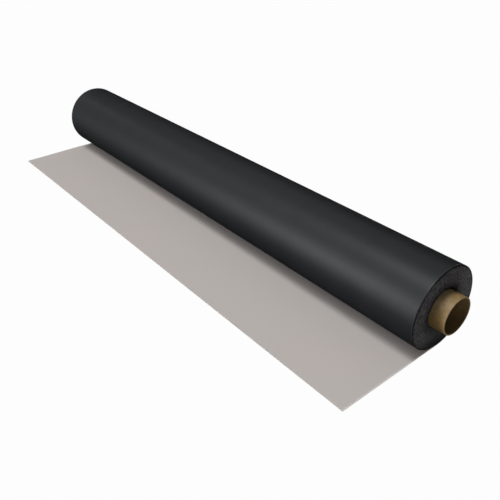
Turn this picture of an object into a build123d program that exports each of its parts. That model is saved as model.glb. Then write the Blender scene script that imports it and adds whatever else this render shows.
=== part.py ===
from build123d import *
from math import asin, degrees, pi, sqrt
import os

# A roll of pvc roofing membrane, lying on its side, with the end of the sheet unrolled on the floor.
# Millimetres. X runs along the roll, the free end of the sheet points to -Y, and Z is up.
# The origin is on the floor, below the middle of everything the part covers.

# The sheet, with a dark face and a light one. Its long edges are slit a little off square: they
# lean in from the dark face to the light one, by this much for each millimetre of thickness.
sheet_thickness = 2.0
sheet_width = 1650
edge_lean = 0.4

# The winding: the laps on the tube, the air left under each lap, and how far the free edge lies
# from below the axis of the roll.
laps = 30
lap_air = 0.01
tail_reach = 310

# The outer lap comes down on the tail in a narrowing nip, taken as closed where it is this thin.
nip_gap = 0.4

# The cardboard tube that the sheet is wound on, which stands out of both ends of the roll.
tube_bore_diameter = 88
tube_wall = 3.5
tube_overhang = 37

pitch = sheet_thickness + lap_air
tube_radius = tube_bore_diameter / 2 + tube_wall
bore_radius = tube_radius + lap_air
roll_radius = tube_radius + laps * pitch
roll_y = (tail_reach - roll_radius) / 2

# A lap is two half turns, one on each side of the upright plane through the axis of the tube.
# The half on the tail's side is half a pitch smaller, and is turned about an axis half a pitch
# higher, so the halves join smoothly into a spiral that runs out into the tail.
upright_plane = Plane(origin=(0, roll_y, 0), x_dir=(1, 0, 0), z_dir=(0, -1, 0))
tube_axis_z = roll_radius
tail_side_axis_z = roll_radius + pitch / 2
tail_side_radius = roll_radius - pitch / 2
nip_reach = sqrt(tail_side_radius**2 - (tail_side_radius + lap_air - nip_gap) ** 2)

os.makedirs("parts", exist_ok=True)


def lap_section(axis_z, outer_radius):
    """The cut edges of all laps, from the top of the roll in to the tube, above the given axis."""
    half_width = sheet_width / 2
    with BuildSketch(upright_plane) as section:
        with BuildLine():
            top_z = axis_z + outer_radius
            corners = [(0, top_z)]
            for lap in range(laps):
                corners.append((half_width, top_z - lap * pitch))
                corners.append((half_width - edge_lean * pitch, top_z - (lap + 1) * pitch))
            corners.append((0, top_z - laps * pitch))
            Polyline(*corners)
            mirror(about=Plane.YZ)
        make_face()
    return section.sketch


with BuildPart() as membrane_roll:
    revolve(
        lap_section(tube_axis_z, roll_radius),
        axis=Axis((0, roll_y, tube_axis_z), (1, 0, 0)),
        revolution_arc=-180,
    )
    revolve(
        lap_section(tail_side_axis_z, tail_side_radius),
        axis=Axis((0, roll_y, tail_side_axis_z), (1, 0, 0)),
        revolution_arc=180,
    )

    # The tail, with its dark face down.
    with BuildSketch(upright_plane):
        with BuildLine():
            Polyline(
                (0, 0),
                (sheet_width / 2, 0),
                (sheet_width / 2 - edge_lean * sheet_thickness, sheet_thickness),
                (0, sheet_thickness),
            )
            mirror(about=Plane.YZ)
        make_face()
    extrude(amount=tail_reach)

    # The closed part of the nip.
    nip_angle = degrees(asin(nip_reach / tail_side_radius))
    with BuildSketch(Plane.YZ):
        with BuildLine():
            outer_lap = CenterArc(
                (roll_y, tail_side_axis_z), tail_side_radius, -90 - nip_angle, nip_angle
            )
            Polyline(
                outer_lap @ 1,
                (roll_y, sheet_thickness),
                (roll_y - nip_reach, sheet_thickness),
                outer_lap @ 0,
            )
        make_face()
    extrude(amount=sheet_width / 2 - edge_lean * pitch, both=True)

    # The bore for the tube.
    with BuildSketch(Plane.YZ):
        with Locations((roll_y, tube_axis_z)):
            Circle(bore_radius)
    extrude(amount=sheet_width, both=True, mode=Mode.SUBTRACT)

with BuildPart() as core_tube:
    with BuildSketch(Plane.YZ):
        with Locations((roll_y, tube_axis_z)):
            Circle(tube_radius)
            Circle(tube_bore_diameter / 2, mode=Mode.SUBTRACT)
    extrude(amount=sheet_width / 2 + tube_overhang, both=True)

membrane_roll.part.label = "membrane_roll"
core_tube.part.label = "core_tube"
export_step(membrane_roll.part, "parts/membrane_roll.step")
export_step(core_tube.part, "parts/core_tube.step")

wound_length = pi * (roll_radius**2 - tube_radius**2) / pitch
print("sheet length, m:", round((wound_length + tail_reach) / 1000, 2))
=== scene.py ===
import math

import bpy
import numpy as np
from mathutils import Matrix, Vector


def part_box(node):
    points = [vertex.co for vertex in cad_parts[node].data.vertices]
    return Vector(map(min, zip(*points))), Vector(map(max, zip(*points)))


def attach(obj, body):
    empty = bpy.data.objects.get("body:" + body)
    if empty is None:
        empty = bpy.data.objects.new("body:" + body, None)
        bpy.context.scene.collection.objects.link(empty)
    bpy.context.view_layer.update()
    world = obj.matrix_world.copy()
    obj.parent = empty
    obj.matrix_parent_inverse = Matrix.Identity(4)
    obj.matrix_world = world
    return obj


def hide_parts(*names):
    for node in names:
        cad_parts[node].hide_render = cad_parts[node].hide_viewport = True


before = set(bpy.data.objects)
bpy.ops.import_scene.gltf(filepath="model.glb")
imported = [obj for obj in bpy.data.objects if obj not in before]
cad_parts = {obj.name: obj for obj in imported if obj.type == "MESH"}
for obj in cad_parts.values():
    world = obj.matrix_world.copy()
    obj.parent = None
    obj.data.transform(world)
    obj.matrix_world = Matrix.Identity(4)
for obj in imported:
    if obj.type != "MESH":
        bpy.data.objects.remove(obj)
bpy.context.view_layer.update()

# Everything is in metres, in the part's own frame: X along the roll, the unrolled end towards -Y, Z up.
# An angle round the roll is counted from +Y, over the top to -Y.
MM = 0.001

# The roll as it was built: its place and size come from the two nodes.
roll_low, roll_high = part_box("membrane_roll")
tube_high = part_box("core_tube")[1]
half_width = roll_high.x
roll_radius = roll_high.z / 2
roll_y = roll_high.y - roll_radius
tail_reach = roll_y - roll_low.y
tube_radius = tube_high.y - roll_y
tube_half_length = tube_high.x

# The sheet and its winding. The pitch is the sheet with the air under each lap. A sixtieth half turn
# would cut into the tube. The outer lap's corners are painted paler as a painted highlight along the
# rim: down to the depth below, and fading out over the width below.
sheet_thickness = 2.0 * MM
pitch = 2.01 * MM
half_turns = 59
rows_in_half_turn = 48
rows_in_tail = 30
corner_radius = 0.3 * MM
corner_turn = np.array([0, 30, 60, 90]) * math.pi / 180
light_ply = 0.3 * MM
rim_highlight_width = 3 * MM
rim_highlight_depth = 0.2 * MM

# The outer lap stands a little proud of the others, and is slack: a groove opens under it, widest
# at slack_angle. The laps next to the tube lie in another. Both grooves are painted black, as painted
# shade. Widths and outer_lap_end are in laps.
outer_lap_end = (0.95, 1.02)
lap_recess = 0.6 * MM
lap_wander = 0.1 * MM
slack_angle = math.radians(136)
slack_groove_laps = (0.4, 4.2)
slack_groove_edge = 0.6
slack_groove_depth = 4.0 * MM
tube_groove_laps = 1.4
tube_groove_edge = 0.1
tube_groove_depth = 1.5 * MM

# The share of their brightness that the cut edges keep, as painted shade: on the outer lap, in the
# grooves, near the floor and round the tube. The painted shade thins out between two heights, and
# between two distances from the axis.
outer_lap_shade_tone = 0.12
groove_shade_tone = 0.03
floor_shade_tone = 0.1
floor_shade_heights = (-5 * MM, 55 * MM)
tube_shade_tone = 0.4
tube_shade_swing = 0.3
tube_shade_radii = (45 * MM, 84 * MM)
tube_shade_angle = math.radians(155)

# The ends' other tones: paler to the front as painted light, duller at the foot as painted shade,
# and uneven from lap to lap.
front_light_gain = 0.12
front_light_angle = math.radians(165)
foot_shade_loss = 0.35
foot_shade_angle = math.radians(280)
lap_tone = 0.88
lap_tone_stray = 0.16

# The tail's cut edges are painted pale, as painted light, and turn dark between these two ways wound,
# in radians.
tail_edge_fade = (-0.3, 0.05)

# The cardboard tube's wall and its plies, whose humps lie within cut_margin of the tube's ends.
tube_wall = 3.5 * MM
tube_columns = 144
ply_count = 7
points_in_ply = 4
ply_hump = 0.12 * MM
arris_drop = 0.35 * MM
cut_margin = 0.6 * MM

# The finishes' colours, in linear light. Where there are two, the finish wanders between them.
dark_pvc = (0.0147, 0.0157, 0.0174, 1), (0.0167, 0.0177, 0.0194, 1)
light_pvc = (0.485, 0.442, 0.424, 1), (0.480, 0.448, 0.427, 1)
cut_dark_ply = (0.011, 0.0105, 0.0112, 1), (0.132, 0.126, 0.133, 1)
cut_light_ply = (0.36, 0.34, 0.33, 1)
# Painted light as well as the light ply's colour: paler than the light face, it lifts the tail's cut edges,
# which face away from the lamps.
cut_tail_ply_and_painted_light = (0.78, 0.74, 0.72, 1)
# A painted highlight: the paler colour of the outer lap's rounded corners along the rim.
rim_highlight_pvc = (0.036, 0.037, 0.039, 1)
kraft_paper = (0.222, 0.136, 0.042, 1), (0.300, 0.192, 0.070, 1)
kraft_fibre = (0.36, 0.25, 0.11, 1)
kraft_fibre_share = 0.25
kraft_inside = (0.258, 0.172, 0.070, 1)
kraft_cut = (0.32, 0.230, 0.118, 1)
black = (0, 0, 0, 1)

# Their roughness and gloss.
dark_roughness = 0.42
light_roughness = 0.6
cut_roughness = 0.75
pvc_gloss = 0.165
kraft_roughness = 0.55
kraft_gloss = 0.55

# The camera: where the photograph was taken from. Its focal length is in the photograph's pixels.
camera_place = (1.3849, -0.9853 + roll_y, 0.9430)
view_azimuth = math.radians(51.56)
view_elevation = math.radians(32.51)
view_roll = math.radians(-1.31)
focal_length = 603.8
photo_width = 500
sensor_width = 36

# The studio. The sky's light comes up between two heights on a dome of radius 1. Each lamp has its
# angle round the roll, its lean along it, its width and its power.
paper_white = 0.982
floor_reach = 30.0
floor_gap = 0.2 * MM
sky_light = 0.100
sky_rise = (0.45, 0.55)
lamps = [
    (104, -15, 16, 1.464),
    (115, -15, 16, 0.333),
    (130, -25, 50, 0.769),
    (155, -30, 16, 0.370),
    (170, -30, 16, 0.989),
    (182, -30, 16, 0.428),
    (195, -30, 16, 0.261),
    (60, -25, 50, 0.259),
    (104, -58, 16, 0.042),
    (180, 78, 36, 0.360),
    (210, 70, 16, 0.460),
    (240, 50, 80, 0.430),
]

# The side that the photograph doesn't show has a lamp of its own, from low behind the roll.
back_lamp = (-15, -25, 30, 3.5)


def smooth_step(low, high, value):
    """0 below low and 1 above high, with an S-shaped rise between them."""
    share = np.clip((value - low) / (high - low), 0, 1)
    return share * share * (3 - 2 * share)


def new_piece(name, points, closed_rows=False, caps=False):
    """A mesh of quads over a grid of points, rows x loop x 3, whose loop closes on itself.

    With closed_rows the last row joins the first. With caps one face closes each end instead.
    """
    row_count, loop_count = points.shape[:2]
    row, col = np.meshgrid(np.arange(row_count - (not closed_rows)), np.arange(loop_count), indexing="ij")
    next_row, next_col = (row + 1) % row_count, (col + 1) % loop_count
    quads = np.stack([
        row * loop_count + col,
        next_row * loop_count + col,
        next_row * loop_count + next_col,
        row * loop_count + next_col,
    ], axis=-1)
    faces = quads.reshape(-1, 4).tolist()
    if caps:
        loop = np.arange(loop_count)
        faces.append(loop.tolist())
        faces.append((loop[::-1] + (row_count - 1) * loop_count).tolist())
    mesh = bpy.data.meshes.new(name)
    mesh.from_pydata(points.reshape(-1, 3).tolist(), [], faces)
    mesh.update()
    mesh.shade_smooth()
    piece = bpy.data.objects.new(name, mesh)
    bpy.context.scene.collection.objects.link(piece)
    return piece


def write_values(piece, name, values):
    """Puts one number, or one vector, on each point of the piece, under a name that its material reads."""
    kind, field = ("FLOAT_VECTOR", "vector") if values.ndim == 3 else ("FLOAT", "value")
    attribute = piece.data.attributes.new(name, kind, "POINT")
    attribute.data.foreach_set(field, values.astype(np.float32).ravel())


def sheet_section():
    """The sheet's cross-section, a slim bar with 26 points round it, from the dark face's -X end.

    Seven points cross the dark face, six go down the +X cut edge, seven cross the light face and
    six come up the -X edge. The corners are quarter circles of corner_radius. Gives x, the depth
    and the side: 1 or -1 on the cut edges, and 0 on the faces.
    """
    turn = corner_turn[::-1]
    down = corner_radius * (1 - np.sin(turn))
    rounding = corner_radius * (1 - np.cos(turn))
    depth_down = np.concatenate([down, sheet_thickness - down[::-1]])
    x_down = half_width - np.concatenate([rounding, rounding[::-1]])
    inner_edge = half_width - rim_highlight_width
    across = np.array([-inner_edge, -half_width / 2, 0, half_width / 2, inner_edge])
    x = np.concatenate([[-x_down[0]], across, x_down, across[::-1], -x_down[:0:-1]])
    depth = np.concatenate([0 * across, [0], depth_down, 0 * across + sheet_thickness, depth_down[:0:-1]])
    side = np.concatenate([[-1], 0 * across, 0 * x_down + 1, 0 * across, -1 + 0 * x_down[1:]])
    return x, depth, side


def sheet_path(wind, depth):
    """Where the sheet lies, for the way wound and the depth below its dark face.

    wind is in radians past the floor line: below 0 it is the flat tail, in radians of roll_radius.
    Above 0 the sheet climbs the +Y side in half turns, each half a pitch smaller than the last, and
    struck by turns from the tube's axis and from half a pitch above it.
    """
    turn = np.clip(np.floor(wind / math.pi), 0, half_turns - 1)
    radius = roll_radius - turn * pitch / 2 - depth
    centre_z = roll_radius + (turn % 2) * pitch / 2
    angle = wind - math.pi / 2
    flat = wind < 0
    y = np.where(flat, roll_y + wind * roll_radius, roll_y + radius * np.cos(angle))
    z = np.where(flat, depth, centre_z + radius * np.sin(angle))
    return y, z


def length_wound(wind):
    """Metres of sheet from the floor line: radius times angle, added up over the half turns."""
    turn = np.clip(np.floor(wind / math.pi), 0, half_turns - 1)
    whole_turns = math.pi * (turn * roll_radius - pitch / 4 * turn * (turn - 1))
    return whole_turns + (wind - turn * math.pi) * (roll_radius - turn * pitch / 2)


def lap_stray(wind):
    """Two sine waves that don't repeat with the laps, from about -1.6 to 1.6."""
    return np.sin(0.61 * wind + 1) + 0.6 * np.sin(1.73 * wind + 2)


def under_outer_lap(wind):
    """0 on the tail and the outer lap, and 1 on the laps under it, with an S between them."""
    return smooth_step(*outer_lap_end, wind / (2 * math.pi))


def grooves(wind):
    """Where the two grooves in the roll's ends are, as shares: under the outer lap, and round the tube.

    The first one's width in laps is its least one, and the rest of it times the eighth power of the
    cosine of half the angle from slack_angle. Both have S-shaped edges.
    """
    lap = wind / (2 * math.pi)
    least, most = slack_groove_laps
    width = least + (most - least) * np.cos((wind - math.pi / 2 - slack_angle) / 2) ** 8
    past_slack = smooth_step(-slack_groove_edge, slack_groove_edge, lap - 1 - width)
    slack = under_outer_lap(wind) * (1 - past_slack)
    from_tube_groove = lap - half_turns / 2 + tube_groove_laps
    round_tube = smooth_step(-tube_groove_edge, tube_groove_edge, from_tube_groove)
    return slack, round_tube


def edge_recess(wind):
    """How far in from the tail's cut edges the sheet's edges lie, for the way wound.

    It is 0 up to the end of the outer lap, and rises there in an S to lap_recess and a little stray,
    which the depth of the two grooves is added to.
    """
    slack, round_tube = grooves(wind)
    recess = under_outer_lap(wind) * (lap_recess + lap_wander * lap_stray(wind))
    return recess + slack * slack_groove_depth + round_tube * tube_groove_depth


def edge_tone_light_and_shade(wind, height, from_axis):
    """How bright the cut edges are, as a share: dull on the outer lap, and black in both grooves.

    The dull outer lap and the black in both grooves are painted shade. The edges also carry painted
    shade near the floor and round the tube, in an S over the height and the radius. Round the tube the
    painted shade is thickest up and to the front, by the cosine of the angle from there. The whole end
    has painted light, a little paler to the front, by a cosine too, and painted shade towards the back
    of its foot, by the fourth power of one.
    """
    angle = wind - math.pi / 2
    groove_shade = np.maximum(*grooves(wind))
    # Painted shade near the floor and round the tube.
    floor_shade = floor_shade_tone + (1 - floor_shade_tone) * smooth_step(*floor_shade_heights, height)
    least = tube_shade_tone - tube_shade_swing * np.cos(angle - tube_shade_angle)
    tube_shade = least + (1 - least) * smooth_step(*tube_shade_radii, from_axis)
    # Painted light to the front, and painted shade at the back of the foot.
    at_foot = np.clip(np.cos(angle - foot_shade_angle), 0, 1) ** 4
    light_and_shade_round_end = 1 + front_light_gain * np.cos(angle - front_light_angle) - foot_shade_loss * at_foot
    lap_by_lap = lap_tone + lap_tone_stray * lap_stray(wind)
    inner_laps = floor_shade * tube_shade * light_and_shade_round_end * lap_by_lap
    # The outer lap is painted dull and both grooves black, as painted shade.
    outside_grooves = outer_lap_shade_tone + under_outer_lap(wind) * (inner_laps - outer_lap_shade_tone)
    return (1 - groove_shade) * outside_grooves + groove_shade_tone * groove_shade


def in_box(box, across, up):
    """Places on the map, for shares of the way across and up a box: left, bottom, right and top."""
    left, bottom, right, top = box
    return np.stack([left + (right - left) * across, bottom + (top - bottom) * up], axis=-1)


def lay_flat(piece, wind, x, y, z):
    """The map that the piece's colours are kept in, a square from 0 to 1.

    The outer lap and the tail lie flat across it, and both ends as they look from the side. The
    faces between the laps, which nobody sees, share two thin stripes. Every block of the grid fills
    its own box, and so does the cap at each end of the sheet.
    """
    row_count, loop_count = x.shape
    corners = np.zeros((row_count - 1, loop_count, 4, 2))
    lap_row = int(np.searchsorted(wind, 0))
    inner_row = lap_row + 2 * rows_in_half_turn
    last_row = row_count - 1
    ring = np.concatenate([np.arange(loop_count), [0]])

    across = (x / half_width + 1) / 2
    front_view = (y - roll_y) / roll_radius / 2 + 0.5
    height = z / roll_radius / 2
    row_number = np.zeros_like(x) + np.arange(row_count)[:, None]
    along_lap = (row_number - lap_row) / (inner_row - lap_row)
    along_tail = row_number / lap_row

    def fill(rows, cols, box, u=None, v=None):
        """Lays one block of the grid into its box, by u and v, or else row by row and column by column."""
        points = np.ix_(np.arange(rows[0], rows[1] + 1), ring[cols[0]:cols[1] + 1])
        way = np.linspace(0, 1, rows[1] - rows[0] + 1)[:, None]
        down = np.linspace(0, 1, cols[1] - cols[0] + 1)[None, :]
        u = (way if u is None else u[points]) + 0 * down
        v = (down if v is None else v[points]) + 0 * way
        place = in_box(box, u, v)
        corners[rows[0]:rows[1], cols[0]:cols[1]] = np.stack(
            [place[:-1, :-1], place[1:, :-1], place[1:, 1:], place[:-1, 1:]], axis=2)

    tail, wound = (0, lap_row), (lap_row, last_row)
    outer, inner = (lap_row, inner_row), (inner_row, last_row)
    dark, right_edge, light, left_edge = (0, 6), (6, 13), (13, 19), (19, 26)
    fill(outer, dark, (0.004, 0.570, 0.996, 0.977), across, along_lap)
    fill(tail, light, (0.004, 0.375, 0.996, 0.562), across, along_tail)
    fill(tail, dark, (0.004, 0.312, 0.996, 0.367), across, along_tail)
    fill(wound, right_edge, (0.004, 0.004, 0.304, 0.304), front_view, height)
    fill(wound, left_edge, (0.312, 0.004, 0.612, 0.304), front_view, height)
    fill(inner, dark, (0.62, 0.25, 0.996, 0.29))
    fill(wound, light, (0.62, 0.20, 0.996, 0.24))
    fill(tail, right_edge, (0.62, 0.15, 0.996, 0.17))
    fill(tail, left_edge, (0.62, 0.12, 0.996, 0.14))

    down_edge = np.arange(1, 7) / 7
    cap_depth = np.concatenate([np.zeros(7), down_edge, np.ones(7), down_edge[::-1]])
    free_cap = in_box((0.62, 0.08, 0.996, 0.10), across[0], cap_depth)
    inner_cap = in_box((0.62, 0.04, 0.996, 0.06), across[0], cap_depth)
    places = np.concatenate([corners.reshape(-1, 2), free_cap, inner_cap[::-1]])
    layer = piece.data.uv_layers.new(name="OFBake")
    layer.data.foreach_set("uv", places.astype(np.float32).ravel())


def wound_sheet():
    """The whole sheet: its cross-section carried along the winding, with a rounded free end."""
    x, depth, side = sheet_section()
    free_end = -tail_reach / roll_radius
    end_wind = free_end + corner_radius * (1 - np.cos(corner_turn)) / roll_radius
    tail_wind = np.linspace(free_end + 2 * corner_radius / roll_radius, 0, rows_in_tail + 1)[:-1]
    roll_wind = np.linspace(0, half_turns * math.pi, half_turns * rows_in_half_turn + 1)
    wind = np.concatenate([end_wind, tail_wind, roll_wind])

    wind_grid, depth_grid = np.meshgrid(wind, depth, indexing="ij")
    from_end = np.clip((wind_grid - free_end) * roll_radius / corner_radius, 0, 1)
    end_down = corner_radius * (1 - np.sqrt(1 - (1 - from_end) ** 2))
    depth_grid = np.clip(depth_grid, end_down, sheet_thickness - end_down)
    x_grid = x - side * edge_recess(wind_grid)
    y, z = sheet_path(wind_grid, depth_grid)
    piece = new_piece("wound_membrane", np.stack([x_grid, y, z], axis=-1), caps=True)

    # The cut edges are dark on the roll, and painted pale on the tail as painted light. The free end's
    # rounding is painted pale all over too.
    on_edge = np.abs(side) * (depth > 0) + 0 * wind_grid
    on_tail = 1 - smooth_step(*tail_edge_fade, wind_grid)
    light_side = np.where(on_edge > 0, on_tail, depth_grid > sheet_thickness / 2)
    light_side[:3] = 1
    # The outer lap's corners carry a painted highlight, paler along the rim.
    on_outer_lap = (wind_grid > 0) & (wind_grid < 2 * math.pi)
    rim_highlight_corner = on_outer_lap & (depth_grid < rim_highlight_depth) & (side != 0)
    write_values(piece, "sheet_place", np.stack([x_grid, length_wound(wind_grid), depth_grid], axis=-1))
    write_values(piece, "cut_edge", on_edge)
    write_values(piece, "light_side", light_side)
    # The edge tone holds painted shade and painted light as well as the laps' own tone.
    write_values(piece, "edge_tone_light_and_shade", edge_tone_light_and_shade(wind_grid, z, np.hypot(y - roll_y, z - roll_radius)))
    write_values(piece, "rim_highlight_corner", rim_highlight_corner)
    lay_flat(piece, wind, x_grid, y, z)
    return piece


def paper_tube():
    """The cardboard tube: the section of its wall, turned about the tube's axis.

    The wall's end is a row of shallow round humps, one for each ply of paper. Each is half a sine
    wave, and the outermost and the innermost ply also fall away to their corner, by a square.
    """
    angle = np.linspace(0, 2 * math.pi, tube_columns + 1)[:-1]
    inner = tube_radius - tube_wall
    share = np.linspace(0, 1, ply_count * points_in_ply + 1)
    hump = np.abs(np.sin(share * ply_count * math.pi))
    plies_in = np.minimum(share, 1 - share) * ply_count
    drop = ply_hump * (1 - hump) + arris_drop * np.clip(1 - plies_in, 0, 1) ** 2
    end_x, end_r = tube_half_length - drop, tube_radius - tube_wall * share
    along = (tube_half_length - cut_margin) * np.array([-1, -0.5, 0, 0.5, 1])
    x = np.concatenate([along, end_x, along[::-1], -end_x[::-1]])
    radius = np.concatenate([0 * along + tube_radius, end_r, 0 * along + inner, end_r[::-1]])
    angle_grid, x_grid = np.meshgrid(angle, x, indexing="ij")
    y = roll_y + radius * np.cos(angle_grid)
    z = roll_radius + radius * np.sin(angle_grid)
    piece = new_piece("cardboard_tube", np.stack([x_grid, y, z], axis=-1), closed_rows=True)
    cut_end = np.concatenate([0 * along, 0 * end_x + 1, 0 * along, 0 * end_x + 1])
    inside = np.concatenate([0 * along, share, 0 * along + 1, share[::-1]])
    write_values(piece, "cut_end", cut_end + 0 * angle_grid)
    write_values(piece, "wall_depth", inside + 0 * angle_grid)
    return piece


def new_material(name, roughness, gloss):
    """A material, its node tree and its main shader, with the numbers that are the same all over it."""
    material = bpy.data.materials.new(name)
    material.use_nodes = True
    shader = material.node_tree.nodes["Principled BSDF"]
    shader.inputs["Roughness"].default_value = roughness
    shader.inputs["Specular IOR Level"].default_value = gloss
    return material, material.node_tree, shader


def feed(tree, socket, value):
    """Sets a socket to a value, or links it to the output of another node."""
    if isinstance(value, bpy.types.NodeSocket):
        tree.links.new(value, socket)
    else:
        socket.default_value = value


def add_node(tree, kind, settings=(), **inputs):
    """A node with its settings. Each input is a value, or the output of another node."""
    made = tree.nodes.new("ShaderNode" + kind)
    for name, value in dict(settings).items():
        setattr(made, name, value)
    for name, value in inputs.items():
        feed(tree, made.inputs[name.replace("_", " ")], value)
    return made


def mixed(tree, kind, share, low, high):
    """low where share is 0 and high where it is 1, of numbers or of colours."""
    made = tree.nodes.new("ShaderNodeMix")
    made.data_type = kind
    sockets = [s for s in made.inputs if s.enabled]
    for socket, value in zip(sockets, (share, low, high)):
        feed(tree, socket, value)
    return next(s for s in made.outputs if s.enabled)


def ranged(tree, value, low, high, to_low=0, to_high=1):
    """A value's range low to high, carried over to another range and kept inside it."""
    return add_node(tree, "MapRange", Value=value, From_Min=low, From_Max=high,
                    To_Min=to_low, To_Max=to_high).outputs["Result"]


def noise(tree, place, per_metre, detail):
    """Soft noise about 0.5, with about so many spots in a metre."""
    return add_node(tree, "TexNoise", Vector=place, Scale=per_metre, Detail=detail).outputs["Fac"]


def spots(tree, place, per_metre, detail, spread):
    """Noise from 0 to 1. What lies within the spread of its middle fades, and the rest is cut off."""
    return ranged(tree, noise(tree, place, per_metre, detail), 0.5 - spread, 0.5 + spread)


def membrane_finish():
    """Calendered pvc, dark on one face and light on the other.

    Both faces have a fine even grain. The dark one has hardly seen streaks along the sheet, and the
    light one faint clouds. The cut edges are rougher. On the roll they are mottled and show the light
    face as a thin line; they are painted black in the grooves and darker elsewhere as painted shade,
    with a little painted light to the front. On the tail they are painted pale, as painted light. The
    outer lap's corners are painted paler, a painted highlight along the rim.
    """
    material, tree, shader = new_material("two_faced_pvc", dark_roughness, pvc_gloss)
    read = {
        name: add_node(tree, "Attribute", {"attribute_name": name})
        for name in ("sheet_place", "cut_edge", "light_side", "edge_tone_light_and_shade", "rim_highlight_corner")
    }
    place = read["sheet_place"].outputs["Vector"]
    on_edge = read["cut_edge"].outputs["Fac"]
    light = read["light_side"].outputs["Fac"]

    streaked = add_node(tree, "Mapping", Vector=place, Scale=(6, 0.8, 1)).outputs["Vector"]
    streak = spots(tree, streaked, per_metre=3, detail=2, spread=0.2)
    cloud = spots(tree, place, per_metre=5, detail=1, spread=0.2)
    dark_face = mixed(tree, "RGBA", streak, *dark_pvc)
    light_face = mixed(tree, "RGBA", cloud, *light_pvc)
    depth = add_node(tree, "SeparateXYZ", Vector=place).outputs["Z"]
    thin_line = ranged(tree, depth, sheet_thickness - light_ply, sheet_thickness - 0.8 * light_ply)
    mottle = spots(tree, place, per_metre=200, detail=4, spread=0.09)
    dark_ply = mixed(tree, "RGBA", mottle, *cut_dark_ply)
    cut = mixed(tree, "RGBA", thin_line, dark_ply, cut_light_ply)
    # The edge tone darkens the cut edges towards black: painted shade in the grooves, on the outer lap,
    # near the floor, round the tube and at the foot, painted light to the front, and a tone that wanders
    # from lap to lap.
    dark_edge = mixed(tree, "RGBA", read["edge_tone_light_and_shade"].outputs["Fac"], black, cut)
    dark_side = mixed(tree, "RGBA", on_edge, dark_face, dark_edge)
    light_side = mixed(tree, "RGBA", on_edge, light_face, cut_tail_ply_and_painted_light)
    both = mixed(tree, "RGBA", light, dark_side, light_side)
    # The painted highlight: the outer lap's corners are painted paler along the rim.
    rim_highlighted = mixed(tree, "RGBA", read["rim_highlight_corner"].outputs["Fac"], both, rim_highlight_pvc)
    tree.links.new(rim_highlighted, shader.inputs["Base Color"])

    face_roughness = mixed(tree, "FLOAT", light, dark_roughness, light_roughness)
    roughness = mixed(tree, "FLOAT", on_edge, face_roughness, cut_roughness)
    tree.links.new(roughness, shader.inputs["Roughness"])

    grain = noise(tree, place, per_metre=1400, detail=2)
    bump = add_node(tree, "Bump", Height=grain, Strength=0.12, Distance=0.2 * MM)
    tree.links.new(bump.outputs["Normal"], shader.inputs["Normal"])
    return material


def cardboard_finish():
    """Spiral-wound kraft paper: blotches and long fibres, and a tone of its own inside and at the ends."""
    material, tree, shader = new_material("kraft_cardboard", kraft_roughness, kraft_gloss)
    place = add_node(tree, "TexCoord").outputs["Object"]
    cut_end = add_node(tree, "Attribute", {"attribute_name": "cut_end"}).outputs["Fac"]
    wall_depth = add_node(tree, "Attribute", {"attribute_name": "wall_depth"}).outputs["Fac"]

    blotch = spots(tree, place, per_metre=110, detail=3, spread=0.15)
    paper = mixed(tree, "RGBA", blotch, *kraft_paper)
    round_tube = add_node(tree, "Mapping", Vector=place, Scale=(1, 0.25, 0.25)).outputs["Vector"]
    fibre = spots(tree, round_tube, per_metre=900, detail=3, spread=0.15)
    fibred = mixed(tree, "RGBA", ranged(tree, fibre, 0, 1, to_high=kraft_fibre_share), paper, kraft_fibre)
    inside = mixed(tree, "RGBA", wall_depth, fibred, kraft_inside)
    ends = mixed(tree, "RGBA", cut_end, inside, kraft_cut)
    tree.links.new(ends, shader.inputs["Base Color"])

    bump = add_node(tree, "Bump", Height=fibre, Strength=0.25, Distance=0.3 * MM)
    tree.links.new(bump.outputs["Normal"], shader.inputs["Normal"])
    return material


def studio_floor():
    """A wide flat floor just under the roll, plain white and evenly bright, which only the camera sees."""
    square = ((-1, -1), (1, -1), (1, 1), (-1, 1))
    corners = [(x * floor_reach, y * floor_reach, -floor_gap) for x, y in square]
    mesh = bpy.data.meshes.new("floor")
    mesh.from_pydata(corners, [], [(0, 1, 2, 3)])
    floor = bpy.data.objects.new("floor", mesh)
    bpy.context.scene.collection.objects.link(floor)
    material, tree, shader = new_material("floor_white", 1.0, 0.0)
    shader.inputs["Base Color"].default_value = black
    shader.inputs["Emission Color"].default_value = (paper_white, paper_white, paper_white, 1)
    shader.inputs["Emission Strength"].default_value = 1
    mesh.materials.append(material)
    for ray in ("diffuse", "glossy", "transmission", "shadow"):
        setattr(floor, "visible_" + ray, False)


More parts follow.
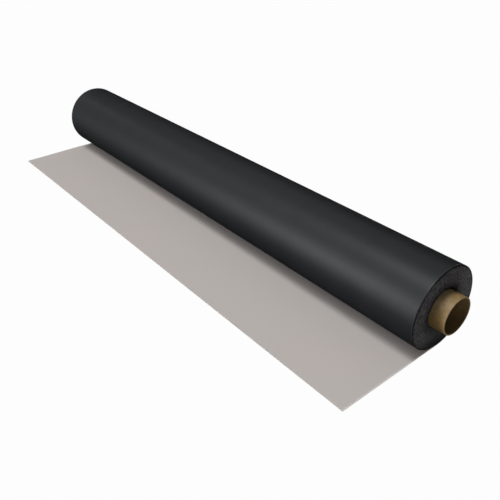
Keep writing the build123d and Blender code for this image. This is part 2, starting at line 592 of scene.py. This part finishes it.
def studio_world():
    """White where the camera sees it. Otherwise it is dark, with a weak light from high up all round."""
    world = bpy.data.worlds.new("studio")
    world.use_nodes = True
    tree = world.node_tree
    way = add_node(tree, "TexCoord").outputs["Generated"]
    rise = add_node(tree, "SeparateXYZ", Vector=way).outputs["Z"]
    light = ranged(tree, rise, *sky_rise, to_high=sky_light)
    seen = add_node(tree, "LightPath").outputs["Is Camera Ray"]
    tree.links.new(mixed(tree, "FLOAT", seen, light, paper_white), tree.nodes["Background"].inputs["Color"])
    bpy.context.scene.world = world


def soft_lamp(angle, lean, width, power, mirrored=True):
    """A far wide lamp, which lights the whole roll alike.

    It stands at an angle round the roll's axis, and leans from there along X. Both are in degrees,
    and so is its width as the roll sees it. Without mirrored it makes no highlight.
    """
    lamp = bpy.data.lights.new("soft_lamp", "SUN")
    lamp.angle = math.radians(width)
    lamp.energy = power
    holder = bpy.data.objects.new("soft_lamp", lamp)
    holder.visible_glossy = mirrored
    bpy.context.scene.collection.objects.link(holder)
    angle, lean = math.radians(angle), math.radians(lean)
    place = Vector((math.sin(lean), math.cos(lean) * math.cos(angle), math.cos(lean) * math.sin(angle)))
    holder.rotation_euler = place.to_track_quat("Z", "Y").to_euler()


def photo_camera():
    """The camera that the photograph is seen through, turned to its azimuth, elevation and roll."""
    camera_data = bpy.data.cameras.new("camera")
    camera_data.sensor_width = sensor_width
    camera_data.lens = focal_length / photo_width * sensor_width
    camera_data.clip_start = 0.01
    camera_data.clip_end = 100
    camera = bpy.data.objects.new("camera", camera_data)
    camera.location = camera_place
    level = Matrix.Rotation(view_azimuth, 3, "Z") @ Matrix.Rotation(math.pi / 2 - view_elevation, 3, "X")
    camera.rotation_euler = (level @ Matrix.Rotation(view_roll, 3, "Z")).to_euler()
    bpy.context.scene.collection.objects.link(camera)
    bpy.context.scene.camera = camera


membrane = wound_sheet()
membrane.data.materials.append(membrane_finish())
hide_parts("membrane_roll")
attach(membrane, "root")

# In the photograph the bright sheet isn't mirrored in the dark underside of the roll.
membrane.visible_glossy = False

tube = paper_tube()
tube.data.materials.append(cardboard_finish())
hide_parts("core_tube")
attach(tube, "root")

photo_camera()
studio_floor()
studio_world()
for lamp in lamps:
    soft_lamp(*lamp)
soft_lamp(*back_lamp, mirrored=False)
bpy.context.scene.view_settings.view_transform = "Standard"
